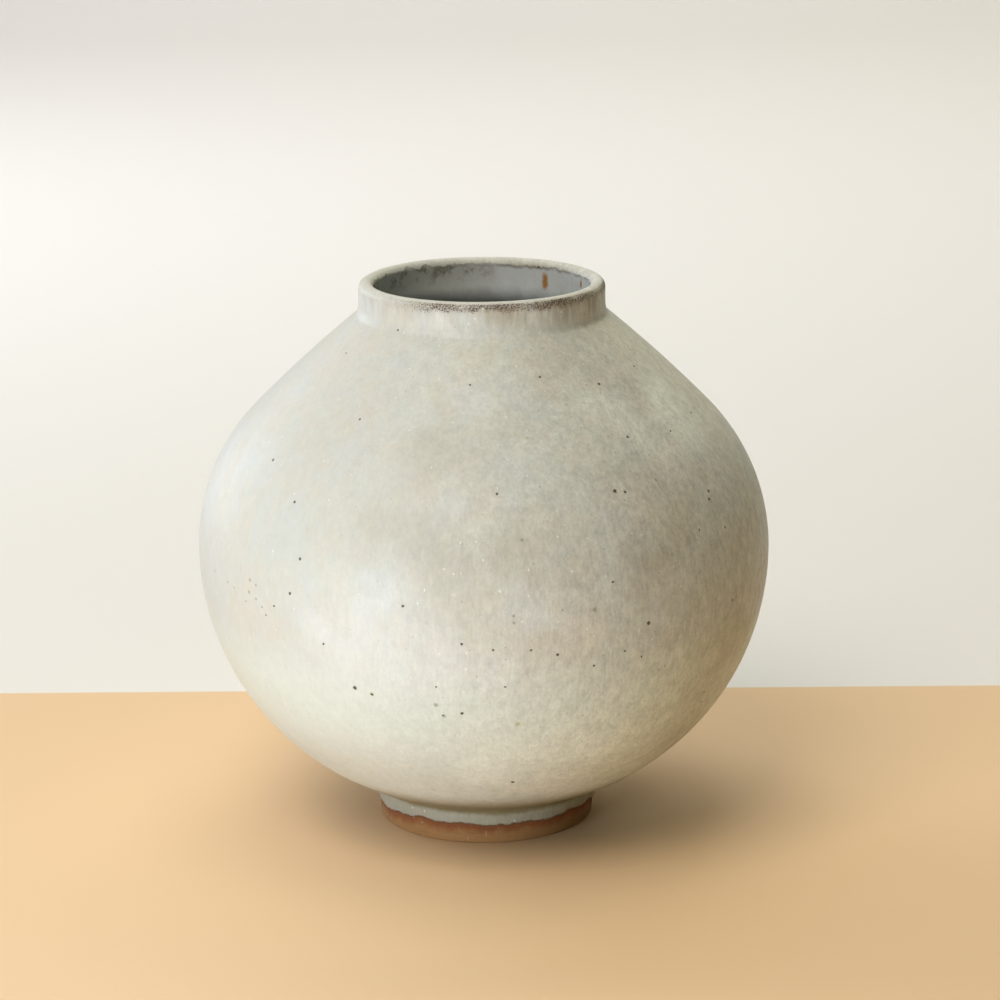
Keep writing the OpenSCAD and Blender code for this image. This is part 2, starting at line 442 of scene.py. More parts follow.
# %% Turn the lining
def inside_line(level, fine):
    """A surface inside the jar, from the middle of the floor up to the lip."""
    line = [(0, floor_z[level])]
    line += arc(lower_centre(level), belly_z - floor_z[level], -90, 0, 18 * fine)
    return line + upper_line(level, fine)[1:]


lining_section = inside_line(LINING, 3) + inside_line(INNER_CLAY, 1)[::-1]
lining = turned("liner_glaze_coat", lining_section)

# %% Turn the foot ring
foot_inner_r = foot_r - foot_wall
well_angle = lower_angle(CLAY, foot_inner_r - foot_draft)
ring_top = arc(lower_centre(CLAY), seat_reach, seat_angle, well_angle, 6)
foot_edge_r = 0.8 * mm
ring_section = arc((foot_r - foot_edge_r, foot_edge_r), foot_edge_r, -90, 0, 6)
ring_section += straight(ring_section[-1], ring_top[0], 22)
ring_section += ring_top[1:]
ring_section += straight(ring_top[-1], (foot_inner_r, foot_edge_r), 10)
ring_section += arc((foot_inner_r + foot_edge_r, foot_edge_r), foot_edge_r, 180, 270, 6)[1:]
ring = turned("bare_foot_ring", ring_section)

# %% How far the bare clay is under the glaze line
def turn_step(point):
    """The number of the spin step that a point belongs to."""
    turn = math.atan2(point.y, point.x) / (2 * math.pi)
    return round(turn * full_turn_steps) % full_turn_steps


line_heights = {}
for vertex in coat.data.vertices:
    step = turn_step(vertex.co)
    line_heights[step] = min(line_heights.get(step, height), vertex.co.z)
depths = [line_heights.get(turn_step(v.co), glaze_line_z) - v.co.z for v in ring.data.vertices]
store(ring, "under_line", depths)
print(f"The glaze line lies between {min(line_heights.values()) / mm:.1f}",
      f"and {max(line_heights.values()) / mm:.1f} mm")

# %% Turn the glaze of the well
well_line_z = 2.6 * mm
well_bead_r = 0.35 * mm
well_edge = (foot_inner_r - 0.05 * mm, well_line_z)
well_bead_centre = (well_edge[0] - 0.25 * mm, well_line_z + well_bead_r)
well_section = [(0, floor_z[CLAY])]
well_section += arc(lower_centre(CLAY), belly_z - floor_z[CLAY], -90, well_angle, 12)
well_section += [ring_top[-1], well_edge]
well_section += arc(well_bead_centre, well_bead_r, -60, -170, 5)
well_skin_angle = lower_angle(OUTSIDE, foot_inner_r - foot_draft - glaze_t)
well_section += arc(lower_centre(OUTSIDE), lower_reach, well_skin_angle, -90, 16)
well_section += [(0, floor_z[OUTSIDE])]
well = turned("foot_well_coat", well_section)

# %% [markdown]
# ## Which piece stands for which
# Each new piece rides on the jar's one body and takes the place of the plain piece that it
# refines. The bowls, the collar and the slip in the joints keep their own solids, because the
# glaze hides them.

# %% Ride and replace
stand_ins = [(coat, "outer_glaze", "outer_glaze"), (lining, "liner_glaze", "liner_glaze"),
             (ring, "foot_ring", "bare_clay"), (well, "foot_well_glaze", "outer_glaze")]
for piece, node, slot in stand_ins:
    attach(piece, "root")
    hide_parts(node)
    print(f"{piece.name} stands for {node}")

# %% [markdown]
# ## Building materials from nodes
# All finishes are made from Blender's procedural nodes, so they have no image files and no
# seams. They read Object coordinates, which are metres in the jar's own frame: a noise with a
# scale of 100 has patches of about a centimetre.

# %% Node helpers
def new_finish(name):
    """An empty material with its Principled shader."""
    finish = bpy.data.materials.new(name)
    finish.use_nodes = True
    return finish, finish.node_tree, finish.node_tree.nodes["Principled BSDF"]


def plug(tree, node, inputs):
    """Gives a node's inputs their plain values, or links them to sockets."""
    for key, value in inputs.items():
        if isinstance(value, bpy.types.NodeSocket):
            tree.links.new(value, node.inputs[key])
        else:
            node.inputs[key].default_value = value


def add(tree, kind, inputs=(), **settings):
    """A new node with its settings and inputs."""
    made = tree.nodes.new("ShaderNode" + kind)
    for key, value in settings.items():
        setattr(made, key, value)
    plug(tree, made, dict(inputs))
    return made


def object_place(tree, scale=(1, 1, 1)):
    """Object coordinates, stretched by a Mapping node where a pattern has a direction."""
    place = add(tree, "TexCoord").outputs["Object"]
    if scale == (1, 1, 1):
        return place
    return add(tree, "Mapping", {"Vector": place, "Scale": scale}).outputs["Vector"]


def noise(tree, place, scale, detail=3.0, roughness=0.5, output="Fac"):
    """A cloud pattern from 0 to 1, or in colour."""
    return add(tree, "TexNoise", {"Vector": place, "Scale": scale, "Detail": detail,
                                  "Roughness": roughness}).outputs[output]


def fade(tree, value, low, high, start=0.0, end=1.0):
    """A smooth step: start where value is low or less, end where it is high or more."""
    return add(tree, "MapRange", {"Value": value, "From Min": low, "From Max": high,
                                  "To Min": start, "To Max": end},
               interpolation_type="SMOOTHSTEP").outputs["Result"]


def calc(tree, operation, a, b=0.0):
    """One arithmetic step."""
    return add(tree, "Math", {0: a, 1: b}, operation=operation).outputs["Value"]


def product(tree, first, *others):
    """Several numbers multiplied."""
    for other in others:
        first = calc(tree, "MULTIPLY", first, other)
    return first


def swing(tree, pattern, reach):
    """A pattern from 0 to 1 made a swing about zero, with its reach from end to end."""
    return product(tree, calc(tree, "SUBTRACT", pattern, 0.5), reach)


def arrow(tree, operation, a, b=(0, 0, 0), output="Vector"):
    """One step with places and directions instead of numbers."""
    return add(tree, "VectorMath", {0: a, 1: b}, operation=operation).outputs[output]


def blend(tree, share, below, above, mode="MIX"):
    """Two colours, mixed by a share."""
    mix = add(tree, "Mix", {"Factor": share}, data_type="RGBA", blend_type=mode)
    for socket, colour in ((mix.inputs[6], below), (mix.inputs[7], above)):
        if isinstance(colour, bpy.types.NodeSocket):
            tree.links.new(colour, socket)
        else:
            socket.default_value = (*colour, 1)
    return mix.outputs[2]


def grey_of(tree, value):
    """The same number as red, green and blue."""
    return add(tree, "CombineColor", {0: value, 1: value, 2: value}).outputs["Color"]


def surface(tree, shader, colour, roughness, relief, depth):
    """Gives a shader its colour, its roughness and fine relief of a depth in metres."""
    bump = add(tree, "Bump", {"Height": relief, "Distance": depth})
    plug(tree, shader, {"Base Color": colour, "Roughness": roughness,
                        "Normal": bump.outputs["Normal"]})


def split(tree, place):
    """The X, Y and Z of a place."""
    return add(tree, "SeparateXYZ", {"Vector": place}).outputs


def dress(piece, finish):
    """Gives a piece one finish, in place of any that it has."""
    piece.data.materials.clear()
    piece.data.materials.append(finish)


# %% [markdown]
# ## Marks in the glaze
# Iron grains in the clay burn through the glaze as dark specks. The ones that show in the
# photograph are put back where they are: a sight line from the camera through each one meets
# the coat at its place on the jar. Their sizes are judged. The wide clouds of paler and duller
# glaze with their painted light and shade, the white patch with its painted sheen and the
# smaller stains are put in their places in the same way.

# %% Find the specks on the jar
def seen_at(x, y, piece):
    """The place on a piece that shows at a point of the photograph."""
    centre = photo_size / 2
    sight = camera_turn @ Vector((x - centre, centre - y, -focal_pixels)).normalized()
    _, place, _, _ = piece.ray_cast(camera_place, sight)
    return place


iron_specks = [(273, 460, 0.9), (360, 419, 0.7), (470, 385, 0.7), (497, 494, 0.8),
               (294.5, 502, 0.8), (300, 559, 0.9), (398, 330, 0.6), (346, 353, 0.6),
               (290, 593.5, 0.9), (274, 606, 0.7), (266, 615, 0.6), (403, 606, 0.9),
               (323.5, 644, 0.8), (355, 688, 1.3), (372, 694.5, 0.9), (461.6, 644, 0.8),
               (493, 650, 0.6), (436, 687, 0.6), (462, 713.5, 0.9), (443, 715.5, 0.6),
               (599, 384, 0.9), (634, 366, 0.7), (540, 377, 0.8), (627.5, 437, 0.9),
               (670.6, 431, 0.7), (691, 412.5, 0.8), (615, 491, 1.1), (625, 492, 0.8),
               (708.5, 491, 0.9), (709, 499, 0.9), (725, 527, 0.8), (699.5, 530, 0.7),
               (613, 582, 0.8), (648.6, 623, 1.2), (531, 650, 0.7), (557.7, 654.7, 0.9),
               (625, 651, 0.7), (641.5, 656.6, 0.7), (594, 665.5, 0.7), (505, 687, 0.6),
               (512.6, 782, 1.1), (704, 692, 0.8), (701, 702, 0.7), (732.7, 600, 0.8)]
# Wide clouds, partly the glaze's own tone and partly painted light and shade: the pale ones add
# painted light on the lower front and the upper right, and the dull ones add painted shade, most
# of all on the lower right edge. The white patch is thicker glaze with a painted sheen.
pale_clouds = [(505, 740, 50), (575, 738, 62), (612, 425, 40), (675, 412, 44)]
dull_clouds = [(530, 562, 50), (456, 446, 56), (428, 540, 64), (650, 552, 50),
               (726, 668, 56), (700, 715, 50)]
white_sheen = [(318, 632, 20), (352, 656, 30), (392, 664, 34), (440, 670, 34), (492, 676, 26)]
olive_stains = [(517.6, 724, 2.6), (372, 694, 2.2), (493, 650, 1.6), (434, 790, 1.6),
                (527, 438, 1.8)]
grey_smudges = [(250, 580, 1.6), (256, 585, 1.3), (249, 592, 1.7), (256, 599, 1.4),
                (262, 607, 1.2), (228, 582, 1.2), (234, 587, 1.2), (215, 571, 1.2),
                (246, 601, 1.0), (436, 705, 2.2), (444, 716, 2.0), (594.7, 609.6, 2.2),
                (513.5, 616, 1.3), (514, 623, 1.3), (522, 540, 1.6), (656, 480, 1.6)]
pale_beads = [(467, 653, 1.5), (466, 669, 1.3), (500, 591, 1.6), (506, 417, 1.1),
              (516, 366, 1.1), (402, 752, 1.2), (632, 533, 0.9), (641, 535, 0.9),
              (691, 487, 0.9), (606, 576, 1.0), (614, 483, 0.8), (507, 784, 1.6),
              (484.5, 787, 0.9), (407, 777, 1.1), (444, 569, 1.0), (454, 595, 0.9)]


def put_back(marks, piece=coat):
    """The place on a piece and the half width, and half length if any, of each mark."""
    return [(seen_at(x, y, piece), *[size * mm / 2 for size in across])
            for x, y, *across in marks]


speck_places = put_back(iron_specks)
stain_places = put_back(olive_stains)
bead_places = put_back(pale_beads)
pale_places = put_back(pale_clouds)
dull_places = put_back(dull_clouds)
sheen_places = put_back(white_sheen)
smudge_places = put_back(grey_smudges)
marks_put = len(speck_places + stain_places + smudge_places + bead_places)
print(marks_put, "marks are put where they show")

# %% [markdown]
# ## Marks as patterns
# How far a point is from the nearest mark, counted in that mark's own radius, is a pattern: it
# is 0 at the middle of every mark and 1 on its edge, and a smooth step makes a soft or a sharp
# spot of it. If a fine noise first moves the point a little, the edge is ragged, as in glaze.

# %% Spots, streaks and ragged edges
def spots(tree, place, marks, core, rim, share):
    """A share that is full at the core of each mark and gone at its rim, in its own radius."""
    nearest = None
    for centre, radius in marks:
        away = arrow(tree, "DISTANCE", place, centre, "Value")
        from_mark = calc(tree, "DIVIDE", away, radius)
        nearest = from_mark if nearest is None else calc(tree, "MINIMUM", nearest, from_mark)
    return fade(tree, nearest, core, rim, share, 0.0)


def with_streaks(tree, place, colour, marks, share, streak_colour):
    """Lays upright streaks of one colour over another."""
    for centre, radius, reach in marks:
        beside = arrow(tree, "SUBTRACT", place, centre)
        shrunk = arrow(tree, "MULTIPLY", beside, (1 / radius, 1 / radius, 1 / reach))
        away = arrow(tree, "LENGTH", shrunk, output="Value")
        colour = blend(tree, fade(tree, away, 0.5, 1.2, share, 0.0), colour, streak_colour)
    return colour


def wobbled(tree, place, scale, reach):
    """A place moved about by a fine noise, so that round marks get ragged edges."""
    stir = noise(tree, place, scale, 2.0, output="Color")
    centred = arrow(tree, "SUBTRACT", stir, (0.5, 0.5, 0.5))
    return arrow(tree, "ADD", place, arrow(tree, "MULTIPLY", centred, (reach, reach, reach)))


def scattered(tree, place, spacing, kept, radius):
    """Random specks: a share of the cells of a Voronoi pattern hold one."""
    cells = add(tree, "TexVoronoi", {"Vector": place, "Scale": 1 / spacing})
    dice = split(tree, cells.outputs["Color"])["X"]
    inside = fade(tree, cells.outputs["Distance"], 0.7 * radius / spacing,
                  1.1 * radius / spacing, 1.0, 0.0)
    return product(tree, inside, calc(tree, "LESS_THAN", dice, kept))


def over_wave(tree, at, top, drop, pattern):
    """How far a place is over a wavy line, which dips below top by a pattern times drop."""
    over_top = calc(tree, "SUBTRACT", at["Z"], top)
    return calc(tree, "ADD", over_top, product(tree, pattern, drop))


def from_axis(tree, place):
    """How far a place is from the jar's axis."""
    outwards = arrow(tree, "MULTIPLY", place, (1, 1, 0))
    return arrow(tree, "LENGTH", outwards, output="Value")


# %% [markdown]
# ## The glaze of the inside
# Inside, the glaze is mottled and blue-grey, greener and darker towards the left, where the
# darkening is painted shade from the lip, and spotted with brown under the lip there. The pale
# glaze of the lip runs down into it and ends in a hem of short drips. The coat and the lining
# meet there, and both finishes ask this one function for the colour and for the way to the hem,
# so that no seam shows.

# %% Colour of the inside
lip_glaze = (0.66, 0.67, 0.61)
green_and_shaded_lining = (0.73, 0.765, 0.70)
blue_lining = (0.85, 0.92, 0.96)
lining_mottle = (0.30, 0.31, 0.28)
lining_brown = (0.20, 0.17, 0.12)
hem_shadow = (0.22, 0.205, 0.17)
hem_z = lip_z + 3.0 * mm
hem_drop = 5.0 * mm


def inner_colour(tree, place, at):
    """The colour of the inside, how far a place is over the hem, and the fine mottle."""
    clouds = noise(tree, place, 42, 4, 0.65)
    mottle = noise(tree, place, 190, 4, 0.7)
    across = calc(tree, "ADD", at["X"], swing(tree, clouds, 30 * mm))
    # Greener and darker towards the left: the glaze's green, with painted shade where the lip
    # keeps light off that side
    colour = blend(tree, fade(tree, across, -28 * mm, 16 * mm), green_and_shaded_lining, blue_lining)
    colour = blend(tree, fade(tree, mottle, 0.3, 0.7, 0.22, 0.0), colour, lining_mottle)

    # Brown mottles under the lip on the left
    under_lip = fade(tree, at["Z"], lip_z - 9 * mm, lip_z - 1.5 * mm)
    on_left = fade(tree, across, -8 * mm, 10 * mm, 1.0, 0.12)
    brown = product(tree, fade(tree, mottle, 0.45, 0.60, 0.3, 1.0), under_lip, on_left, 0.8)
    colour = blend(tree, brown, colour, lining_brown)

    # A dark line under the drips of the hem
    drips = noise(tree, object_place(tree, (1, 1, 0.1)), 210, 2, 0.6)
    past_hem = over_wave(tree, at, hem_z, hem_drop, drips)
    shadow = product(tree, fade(tree, past_hem, -1.3 * mm, 0.1 * mm),
                     fade(tree, clouds, 0.42, 0.58, 0.1, 0.75))
    return blend(tree, shadow, colour, hem_shadow), past_hem, mottle


# %% [markdown]
# ## The satin glaze
# From a distance the jar is off-white. Close up it is a cool green-grey with warm, pinkish
# clouds where the glaze is thin, faint runs straight down, and iron specks. The finish is built
# in layers: each is a short function that takes the colour so far and gives it back changed.
# The first mixes three close shades by noises of different sizes.

# %% Cool, warm and bluish clouds
cool_glaze = (0.598, 0.620, 0.580)
warm_glaze = (0.622, 0.610, 0.544)
blue_glaze = (0.598, 0.620, 0.604)


def cloudy_colour(tree, place, patches):
    """The colour of the glaze before any layer."""
    clouds = noise(tree, place, 17, 4, 0.6)
    warmth = calc(tree, "ADD", fade(tree, clouds, 0.36, 0.64, 0.0, 0.6),
                  fade(tree, patches, 0.38, 0.62, 0.0, 0.6))
    colour = blend(tree, fade(tree, warmth, 0.1, 1.1), cool_glaze, warm_glaze)
    pools = noise(tree, object_place(tree, (1, 1, 0.6)), 48, 3, 0.7)
    return blend(tree, fade(tree, pools, 0.50, 0.64, 0.0, 0.75), colour, blue_glaze)


# %% [markdown]
# The glaze isn't equally thick all over, and light and shade are painted in with it. The lower
# flank is greener, and paler with painted bounce light from the floor. Some wide soft clouds are
# paler and some duller, partly in the glaze and partly painted light and shade, and the dull
# ones lay painted shade along the lower right edge. A patch on the lower left is whitest:
# thicker glaze with a painted sheen. The clouds are spots of a few centimetres, wobbled so
# strongly that nothing round is left of them.

# %% Thick and thin places, with painted light and shade
green_and_lit_glaze = (0.685, 0.743, 0.695)
pale_and_lit_glaze = (0.768, 0.812, 0.750)
dull_and_shaded_glaze = (0.505, 0.492, 0.425)
white_glaze_and_sheen = (0.715, 0.740, 0.730)


def with_wide_clouds(tree, place, at, colour):
    """Greener lower flank, wide clouds and white patch, with painted light, shade and sheen."""
    # Greener glaze on the lower flank, which is also paler with painted bounce light from the
    # floor
    low_zone = product(tree, fade(tree, at["Z"], 66 * mm, 92 * mm, 0.9, 0.0),
                       fade(tree, at["Z"], 34 * mm, 58 * mm, 0.35, 1.0))
    colour = blend(tree, low_zone, colour, green_and_lit_glaze)
    drifting = wobbled(tree, place, 28, 60 * mm)
    # Paler clouds are thicker glaze with painted light, and duller ones thinner glaze with
    # painted shade
    thick_and_lit = spots(tree, drifting, pale_places, 0.0, 1.15, 0.85)
    thin_and_shaded = spots(tree, drifting, dull_places, 0.0, 1.15, 0.8)
    colour = blend(tree, thick_and_lit, colour, pale_and_lit_glaze)
    colour = blend(tree, thin_and_shaded, colour, dull_and_shaded_glaze)
    # The white patch on the lower left: thicker glaze with a painted sheen on it
    sheen_edge = wobbled(tree, place, 120, 8 * mm)
    sheen = spots(tree, sheen_edge, sheen_places, 0.1, 1.2, 0.6)
    return blend(tree, sheen, colour, white_glaze_and_sheen)


# %% [markdown]
# Melted glaze runs down. It leaves the lip paler and creamy and gathers on the foot in a
# thick, dull band, with a pool of olive brown in the corner between foot and bowl. Band and
# pool are darker than the glaze alone, because painted shade under the belly lies in their
# colours. All three follow the height, and the pool's upper edge is broken by the patches that
# vary the gloss.

# %% Lip, foot and pool, with painted shade
thick_and_shaded_glaze = (0.365, 0.332, 0.243)
pooled_and_shaded_glaze = (0.225, 0.185, 0.088)
pool_shade_low_z = 11.8 * mm
pool_shade_high_z = 18 * mm
pool_shade_end_z = 29 * mm


def with_lip_pool_and_shade(tree, at, patches, colour):
    """The glaze that drew back from the lip and gathered over the foot, with painted shade
    there.
    """
    over_lip = fade(tree, at["Z"], lip_z - 0.6 * mm, lip_z + 1.2 * mm, 0.0, 0.8)
    colour = blend(tree, over_lip, colour, lip_glaze)
    # The band over the foot, darkened by painted shade under the belly
    foot_band_and_shade = fade(tree, at["Z"], 11 * mm, 13 * mm, 0.85, 0.0)
    colour = blend(tree, foot_band_and_shade, colour, thick_and_shaded_glaze)
    # The olive pool in the corner: pooled glaze, darkened further by painted shade
    uneven_z = calc(tree, "ADD", at["Z"], product(tree, patches, 3 * mm))
    pool_and_shade = product(tree, fade(tree, uneven_z, pool_shade_low_z, pool_shade_low_z + 1.8 * mm),
                   fade(tree, uneven_z, pool_shade_high_z, pool_shade_end_z, 0.95, 0.0))
    return blend(tree, pool_and_shade, colour, pooled_and_shaded_glaze)


# %% [markdown]
# A fine mottling and thin upright runs make the glaze lighter and darker, more so on the right
# side of the jar, and a faint tint in all hues keeps it from looking like grey noise. The
# brightness is multiplied in, so that it works alike on every shade below it.

# %% Mottling
def with_mottling(tree, side, colour):
    """Fine mottling and faint runs, in brightness and in hue."""
    mottle = noise(tree, object_place(tree, (1, 1, 0.75)), 240, 5, 0.9)
    runs = noise(tree, object_place(tree, (1, 1, 0.14)), 900, 2, 0.6)
    uneven = calc(tree, "ADD", swing(tree, mottle, 0.62), swing(tree, runs, 0.2))
    shade = calc(tree, "ADD", product(tree, uneven, side), 1.0)
    colour = blend(tree, 1.0, colour, grey_of(tree, shade), "MULTIPLY")
    tint = noise(tree, object_place(tree, (1, 1, 0.8)), 110, 6, 0.85, "Color")
    return blend(tree, 0.05, colour, tint, "OVERLAY")


# %% [markdown]
# On the inner half of the lip the glaze of the lining comes up to the hem. On its outer half
# lies a band of fine brown specks, thinner towards the left, with a brown haze between them and
# a few pale beads. From there, dull runs go down the collar. The band is a noise that is lifted
# over a threshold, so its specks crowd together in the middle and thin out at its edges.

# %% Inside of the lip
def lined_lip(tree, place, at):
    """Where the coat turns in over the lip and shows the glaze of the inside, and its colour."""
    inner, past_hem, _ = inner_colour(tree, place, at)
    turned_in = fade(tree, from_axis(tree, place), lip_middle_r - 0.8 * mm,
                     lip_middle_r - 0.2 * mm, 1.0, 0.0)
    lined = product(tree, fade(tree, at["Z"], lip_z - 4 * mm, lip_z - 3 * mm), turned_in,
                    fade(tree, past_hem, 0.0, 0.4 * mm, 1.0, 0.0))
    return lined, inner


# %% Band of brown specks
band_haze = (0.32, 0.26, 0.19)
band_brown = (0.075, 0.042, 0.026)
bead_cream = (0.80, 0.79, 0.73)
band_low_z = lip_z + 2.0 * mm
band_drop = 5.5 * mm
band_top_z = lip_z + 2.45 * mm


def with_speck_band(tree, place, at, colour):
    """The band of brown specks round the outside of the lip."""
    flow = noise(tree, object_place(tree, (1, 1, 0.25)), 170, 3, 0.65)
    over_edge = over_wave(tree, at, band_low_z, band_drop, flow)
    in_band = product(tree, fade(tree, over_edge, -1.6 * mm, 1.2 * mm),
                      fade(tree, at["Z"], band_top_z - 0.75 * mm, band_top_z, 1.0, 0.0),
                      fade(tree, from_axis(tree, place), neck_r - 2.2 * mm, neck_r - 0.9 * mm))
    from_left = fade(tree, at["X"], -36 * mm, -4 * mm, 0.3, 1.0)
    round_jar = fade(tree, noise(tree, place, 46, 2, 0.5), 0.3, 0.6, 0.55, 1.0)
    strength = product(tree, from_left, round_jar, in_band)
    colour = blend(tree, product(tree, strength, 0.42), colour, band_haze)
    dots = noise(tree, place, 1750, 3, 0.95)
    lifted = calc(tree, "ADD", dots, product(tree, strength, 0.33))
    dotted = product(tree, fade(tree, lifted, 0.67, 0.82, 0.0, 0.95),
                     fade(tree, in_band, 0.02, 0.3))
    colour = blend(tree, dotted, colour, band_brown)
    beads = scattered(tree, wobbled(tree, place, 1800, 0.4 * mm), 1.5 * mm, 0.3, 0.27 * mm)
    beads = product(tree, beads, fade(tree, over_edge, -3.0 * mm, 0.0, 0.0, 0.7),
                    fade(tree, at["Z"], lip_z, lip_z + mm, 1.0, 0.0))
    return blend(tree, beads, colour, bead_cream)


# %% Dull runs on the collar
run_grey = (0.36, 0.31, 0.225)


def with_collar_runs(tree, at, colour):
    """The dull runs from the band down the collar, more of them on the right."""
    drips = noise(tree, object_place(tree, (1, 1, 0.13)), 230, 2, 0.6)
    run = product(tree, fade(tree, drips, 0.44, 0.64, 0.0, 0.75),
                  fade(tree, at["Z"], lip_z - 9 * mm, lip_z - 1 * mm),
                  fade(tree, at["X"], -20 * mm, 30 * mm, 0.25, 1.0),
                  fade(tree, at["Z"], lip_z, lip_z + mm, 1.0, 0.0))
    return blend(tree, run, colour, run_grey)


# %% [markdown]
# The grains are the dark iron specks, olive and grey stains, pale beads, and painted glints of
# light on pinholes. The ones that show have their places, the specks of the back come from the
# random pattern, and the faintest are scattered everywhere. Specks are pits and beads are
# bumps, so both go into the relief.

# %% Grains
iron_brown = (0.05, 0.032, 0.018)
olive = (0.40, 0.37, 0.13)
smudge_grey = (0.165, 0.17, 0.13)
faint_brown = (0.20, 0.16, 0.09)
bead_and_glint_white = (0.86, 0.85, 0.78)


def with_grains(tree, place, at, side, colour):
    """The colour with all grains on it, and their relief."""
    ragged = wobbled(tree, place, 1800, 0.75 * mm)
    stain = spots(tree, ragged, stain_places, 0.3, 1.0, 0.55)
    colour = blend(tree, stain, colour, olive)
    smudge = spots(tree, ragged, smudge_places, 0.2, 1.1, 0.6)
    colour = blend(tree, smudge, colour, smudge_grey)
    seen = spots(tree, ragged, speck_places, 0.85, 1.45, 1.0)
    hidden = product(tree, scattered(tree, ragged, 4 * mm, 0.10, 0.42 * mm),
                     fade(tree, at["Y"], -20 * mm, 30 * mm))
    speck = calc(tree, "MAXIMUM", seen, hidden)
    colour = blend(tree, product(tree, speck, 0.93), colour, iron_brown)
    fine_place = wobbled(tree, object_place(tree, (1, 1, 0.7)), 1500, 0.5 * mm)
    faint = product(tree, scattered(tree, fine_place, 2.3 * mm, 0.16, 0.30 * mm), side, 0.3)
    colour = blend(tree, faint, colour, faint_brown)
    # Painted glints: tiny pale flecks of light on pinholes, mixed in with the pale beads
    long_place = wobbled(tree, object_place(tree, (1, 1, 0.55)), 1500, 0.4 * mm)
    glints = scattered(tree, long_place, 2.4 * mm, 0.19, 0.30 * mm)
    bead = spots(tree, ragged, bead_places, 0.3, 1.1, 1.0)
    pale = product(tree, calc(tree, "MAXIMUM", glints, bead), 0.75)
    colour = blend(tree, pale, colour, bead_and_glint_white)
    return colour, calc(tree, "SUBTRACT", bead, speck)


# %% [markdown]
# Where the glaze ends on the foot, the clay burns through it in a thin brown edge. This layer
# reads the attribute with the height over the glaze line, so it follows the line's rise and
# fall. Then all layers are put together. The gloss is that of silk: the roughness is a little
# under a half and varies with the patches, and it is lower inside the lip.

# %% Brown edge
line_brown = (0.16, 0.075, 0.028)


def with_brown_edge(tree, peel, colour):
    """The thin brown edge at the glaze line."""
    over_line = add(tree, "Attribute", attribute_name="over_line").outputs["Fac"]
    frayed = calc(tree, "SUBTRACT", over_line, product(tree, peel, 1.2 * mm))
    edge = fade(tree, frayed, -0.6 * mm, 0.1 * mm, 0.9, 0.0)
    return blend(tree, edge, colour, line_brown)


# %% Put the satin glaze together
def satin_glaze():
    """The glaze of the outside."""
    finish, tree, shader = new_finish("satin_glaze")
    place = object_place(tree)
    at = split(tree, place)
    patches = noise(tree, object_place(tree, (1, 1, 0.7)), 75, 5, 0.8)
    side = fade(tree, at["X"], -70 * mm, 70 * mm, 0.42, 2.0)
    colour = cloudy_colour(tree, place, patches)
    colour = with_wide_clouds(tree, place, at, colour)
    colour = with_lip_pool_and_shade(tree, at, patches, colour)
    colour = with_mottling(tree, side, colour)
    lined, inner = lined_lip(tree, place, at)
    colour = blend(tree, lined, colour, inner)
    colour = with_speck_band(tree, place, at, colour)
    colour = with_collar_runs(tree, at, colour)
    colour, grains = with_grains(tree, place, at, side, colour)
    peel = noise(tree, place, 700, 3, 0.55)
    colour = with_brown_edge(tree, peel, colour)
    gloss = fade(tree, patches, 0.35, 0.65, 0.42, 0.53)
    gloss = calc(tree, "SUBTRACT", gloss, product(tree, lined, 0.25))
    surface(tree, shader, colour, gloss, calc(tree, "ADD", peel, grains), 0.05 * mm)
    return finish


dress(coat, satin_glaze())
dress(well, coat.data.materials[0])
print("The satin glaze has", len(coat.data.materials[0].node_tree.nodes), "nodes")

# %% [markdown]
# ## The glossy lining
# Below the hem the inside is as glossy as glass, and wavy, with two rusty runs where iron came
# down from the lip. Deeper down it darkens, because less light comes in by the mouth.

# %% Make the glossy lining
rust_runs = [(545, 281, 3.0, 6.6), (581, 284, 1.7, 3.0)]
rust_places = put_back(rust_runs, lining)
rust = (0.52, 0.25, 0.065)
lining_roughness = 0.16


def glossy_lining():
    """The glaze of the inside."""
    finish, tree, shader = new_finish("glossy_lining")
    place = object_place(tree)
    at = split(tree, place)
    colour, past_hem, mottle = inner_colour(tree, place, at)
    colour = blend(tree, fade(tree, past_hem, 0.0, 0.5 * mm), colour, lip_glaze)
    stirred = wobbled(tree, place, 500, 1.2 * mm)
    colour = with_streaks(tree, stirred, colour, rust_places, 0.95, rust)
    deep = grey_of(tree, fade(tree, at["Z"], lip_z - 17 * mm, lip_z - 9 * mm, 0.55, 1.0))
    colour = blend(tree, 1.0, colour, deep, "MULTIPLY")
    surface(tree, shader, colour, lining_roughness, mottle, 0.12 * mm)
    return finish


dress(lining, glossy_lining())
print("The lining has", len(rust_places), "rusty runs")

# %% [markdown]
# ## Bare clay and hidden clay
# The foot is bare stoneware: toasted red-brown just under the glaze, where the fire met it, and
# a dry tan lower down, with pale grit and fine turning lines. The same clay, less
# toasted, is inside the wall, and the slip in the joints is a finer, paler clay.

# %% Make the clays
pale_cracks = [(486, 834, 0.45, 2.6), (496, 832, 0.35, 2.0), (422, 822, 0.9, 0.8),
               (414, 817, 0.7, 0.7), (468, 838, 0.3, 1.2)]
crack_places = put_back(pale_cracks, ring)
red_clay = (0.26, 0.078, 0.020)
tan_clay = (0.37, 0.185, 0.062)
pale_grit = (0.50, 0.36, 0.23)
turning_brown = (0.17, 0.085, 0.04)
crack_tan = (0.56, 0.42, 0.28)
clay_roughness = 0.82


